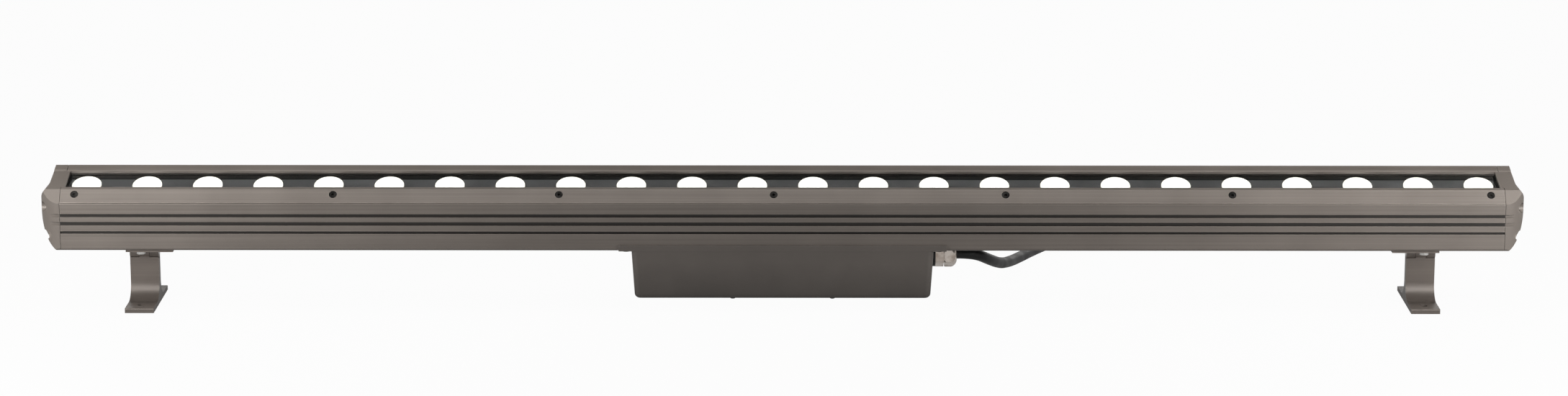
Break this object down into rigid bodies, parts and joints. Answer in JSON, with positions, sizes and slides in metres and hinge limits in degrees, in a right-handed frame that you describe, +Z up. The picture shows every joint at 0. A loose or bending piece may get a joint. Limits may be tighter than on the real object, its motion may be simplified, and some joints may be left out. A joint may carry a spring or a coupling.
{
  "type": "wall washer light",
  "caption": "Linear outdoor wall washer: slim grooved extrusion with glazed lens window, driver box below, two sliding tilting feet and a cable with coupling.",
  "frame": {"origin": "on the ground, at the middle of the two feet, without the cable", "axes": "+X along the lamp to the cable gland's side, -Y out of the front face, +Z up"},
  "size_m": [1.0034, 0.2797, 0.0914],
  "materials": {
    "body_coat": "dark warm grey satin powder coat on extruded aluminium",
    "cap_coat": "the same coat on cast aluminium",
    "box_coat": "the same coat on cast aluminium, slightly darker",
    "bracket_coat": "the same coat on extruded aluminium",
    "dark_steel": "blackened steel",
    "bright_steel": "bright stainless steel",
    "clear_glass": "clear toughened glass",
    "black_silicone": "matt black",
    "plate_plastic": "matt dark grey sheet",
    "lens_acrylic": "clear moulded acrylic, lit from below",
    "black_plastic": "moulded black nylon",
    "emitter": "phosphor under silicone",
    "lamp_board": "white solder mask on aluminium",
    "circuit_board": "green solder mask",
    "winding": "amber tape over ferrite",
    "can_sleeve": "dark sleeves",
    "terminal_plastic": "pale moulded plastic",
    "lead_sheath": "red silicone insulation",
    "plated_brass": "nickel-plated brass, slightly warm",
    "cable_rubber": "black rubber sheath",
    "tie_plastic": "black nylon strap",
    "contact_brass": "gold-coloured contacts"
  },
  "bodies": {
    "lamp": {"housing": "body_coat", "front_cover_rail": "body_coat", "rear_cover_rail": "body_coat", "front_rail_screws": "dark_steel", "rear_rail_screws": "dark_steel", "cover_glass": "clear_glass", "glass_gasket": "black_silicone", "lens_plate": "plate_plastic", "lenses": "lens_acrylic", "lens_holders": "black_plastic", "led_emitters": "emitter", "board_screws": "bright_steel", "driver_box": "box_coat", "box_gasket": "black_silicone", "box_flange_screws": "dark_steel", "box_bottom_screws": "dark_steel", "driver_board": "circuit_board", "driver_nuts": "bright_steel", "driver_transformer": "winding", "driver_capacitors": "can_sleeve", "terminal_block": "terminal_plastic", "lead_grommet": "black_silicone", "internal_leads": "lead_sheath", "gland_washer": "black_silicone", "gland_body": "plated_brass", "gland_clamp_nut": "plated_brass", "gland_seal": "black_silicone", "gland_locknut": "plated_brass", "cable_entry": "cable_rubber", "cable_lead": "cable_rubber", "cable_coil": "cable_rubber", "cable_tail": "cable_rubber", "cable_tie": "tie_plastic", "connector_nut": "black_plastic", "connector_body": "black_plastic", "connector_ring": "black_plastic", "connector_pins": "contact_brass", "left_end_cap": "cap_coat", "left_cap_gasket": "black_silicone", "left_cap_screws": "dark_steel", "left_led_board": "lamp_board", "right_end_cap": "cap_coat", "right_cap_gasket": "black_silicone", "right_cap_screws": "dark_steel", "right_led_board": "lamp_board"},
    "left_slider": {"left_slider_plate": "bracket_coat", "left_t_nuts": "bright_steel", "left_clamp_bolts": "bright_steel", "left_hinge_pin": "bright_steel"},
    "left_foot": {"left_foot": "bracket_coat"},
    "right_slider": {"right_slider_plate": "bracket_coat", "right_t_nuts": "bright_steel", "right_clamp_bolts": "bright_steel", "right_hinge_pin": "bright_steel"},
    "right_foot": {"right_foot": "bracket_coat"}
  },
  "joints": [
    {"name": "left_bracket_slide", "type": "slide", "parent": "lamp", "child": "left_slider", "axis": [1, 0, 0], "range_m": [-0.035, 0.2]},
    {"name": "left_foot_tilt", "type": "hinge", "parent": "left_slider", "child": "left_foot", "pos_m": [-0.4348, 0, 0.0348], "axis": [1, 0, 0], "range_deg": [-35, 35]},
    {"name": "right_bracket_slide", "type": "slide", "parent": "lamp", "child": "right_slider", "axis": [-1, 0, 0], "range_m": [-0.035, 0.2]},
    {"name": "right_foot_tilt", "type": "hinge", "parent": "right_slider", "child": "right_foot", "pos_m": [0.4348, 0, 0.0348], "axis": [1, 0, 0], "range_deg": [-35, 35]}
  ]
}
